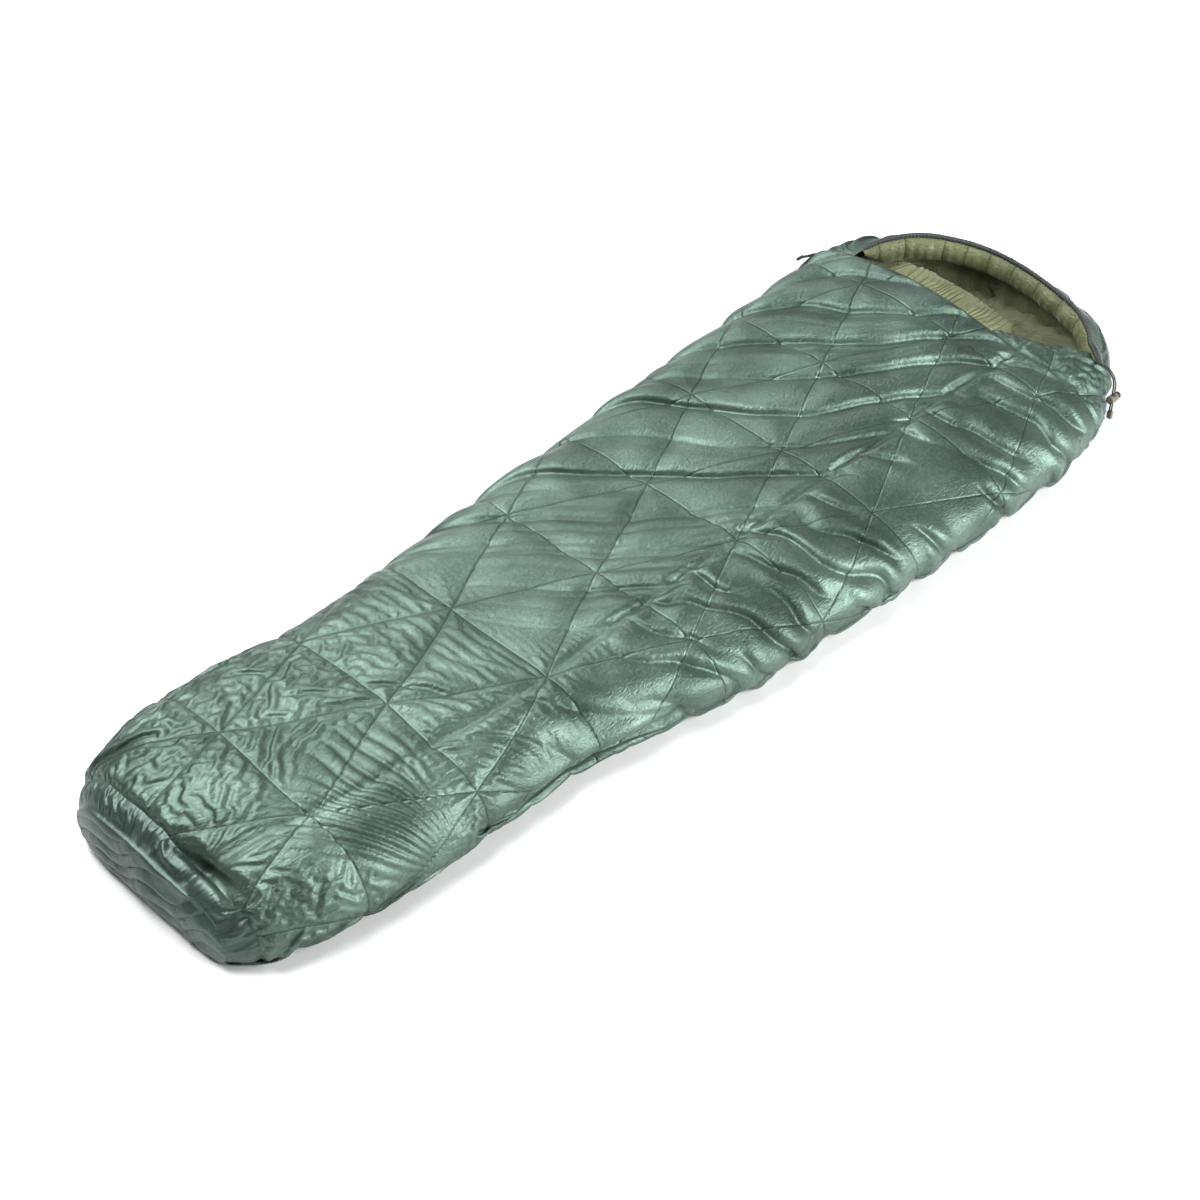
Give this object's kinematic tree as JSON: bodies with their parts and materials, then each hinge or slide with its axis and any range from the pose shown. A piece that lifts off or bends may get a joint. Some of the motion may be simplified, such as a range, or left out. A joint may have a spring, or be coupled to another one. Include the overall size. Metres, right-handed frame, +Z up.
{
  "type": "mummy sleeping bag",
  "caption": "Mummy sleeping bag with quilted shell, hood with drawcord, side zip that lets the top quilt fold open, footbox and closure tab.",
  "frame": {"origin": "middle of the footprint, on the ground", "axes": "+X from the foot end to the head, +Y to the side with the zip, +Z up"},
  "size_m": [2.2, 0.7319, 0.1793],
  "materials": {
    "shell_fabric": "satin ripstop",
    "end_panel_fabric": "satin ripstop",
    "liner_fabric": "soft woven",
    "insulation": "matt fibre wadding",
    "binding": "matt woven tape",
    "drawcord": "braided cord",
    "zip_tape": "matt woven tape",
    "zip_coil": "moulded nylon",
    "zip_metal": "satin metal",
    "lock_plastic": "moulded",
    "plunger_plastic": "moulded",
    "spring_steel": "drawn wire",
    "tab_webbing": "woven webbing",
    "tab_end_rubber": "moulded rubber",
    "hook_patch": "hook tape",
    "loop_patch": "loop tape"
  },
  "bodies": {
    "bag": {"bottom_shell": "shell_fabric", "bottom_insulation": "insulation", "bottom_liner": "liner_fabric", "side_shell": "shell_fabric", "side_insulation": "insulation", "side_liner": "liner_fabric", "footbox_shell": "shell_fabric", "footbox_end_panel": "end_panel_fabric", "footbox_insulation": "insulation", "footbox_liner": "liner_fabric", "hood_shell": "shell_fabric", "hood_insulation": "insulation", "hood_liner": "liner_fabric", "hood_drawcord_channel": "binding", "hood_drawcord": "drawcord", "drawcord_tail_outer": "drawcord", "drawcord_tail_inner": "drawcord", "cord_end_tab": "lock_plastic", "zip_tape_bottom": "zip_tape", "zip_coil_bottom": "zip_coil", "zip_top_stop": "zip_metal", "zip_bottom_stop": "zip_metal", "draft_tube": "liner_fabric", "closure_loop_patch": "loop_patch"},
    "top_quilt": {"top_shell": "shell_fabric", "top_insulation": "insulation", "top_liner": "liner_fabric", "zip_tape_top": "zip_tape", "zip_coil_top": "zip_coil", "draft_collar": "liner_fabric"},
    "zip_slider": {"zip_slider": "zip_metal"},
    "zip_pull_outer": {"zip_pull_outer": "zip_metal"},
    "zip_pull_inner": {"zip_pull_inner": "zip_metal"},
    "cord_lock": {"cord_lock_body": "lock_plastic", "cord_lock_spring": "spring_steel"},
    "cord_lock_plunger": {"cord_lock_plunger": "plunger_plastic"},
    "closure_tab": {"closure_tab": "tab_webbing", "closure_hook_patch": "hook_patch", "closure_tab_end": "tab_end_rubber"}
  },
  "joints": [
    {"name": "top_quilt_fold", "type": "hinge", "parent": "bag", "child": "top_quilt", "pos_m": [0, -0.15, 0.14], "axis": [1, 0, 0], "range_deg": [0, 150]},
    {"name": "zip_slider_slide", "type": "slide", "parent": "bag", "child": "zip_slider", "axis": [0.9969, 0.0781, 0.0105], "range_m": [-1.3701, 0]},
    {"name": "zip_pull_outer_turn", "type": "hinge", "parent": "zip_slider", "child": "zip_pull_outer", "pos_m": [0.79414, 0.36401, 0.08962], "axis": [0.0105, 0, -0.9999], "range_deg": [0, 150]},
    {"name": "zip_pull_inner_turn", "type": "hinge", "parent": "zip_slider", "child": "zip_pull_inner", "pos_m": [0.79556, 0.35228, 0.08964], "axis": [-0.0105, 0, 0.9999], "range_deg": [0, 24]},
    {"name": "cord_lock_slide", "type": "slide", "parent": "bag", "child": "cord_lock", "axis": [0, 0, 1], "range_m": [-0.005, 0.015]},
    {"name": "cord_lock_press", "type": "slide", "parent": "cord_lock", "child": "cord_lock_plunger", "axis": [-1, 0, 0], "range_m": [0, 0.0038], "stiffness_N_per_m": 800, "deforming": ["cord_lock_spring"]},
    {"name": "closure_tab_flip", "type": "hinge", "parent": "top_quilt", "child": "closure_tab", "pos_m": [0.82, 0.34783, 0.12789], "axis": [0, 0.6847, -0.7288], "range_deg": [0, 160]}
  ],
  "couplings": [
    {"joint": "zip_slider_slide", "follows": "top_quilt_fold", "m_per_rad": -0.5233}
  ]
}
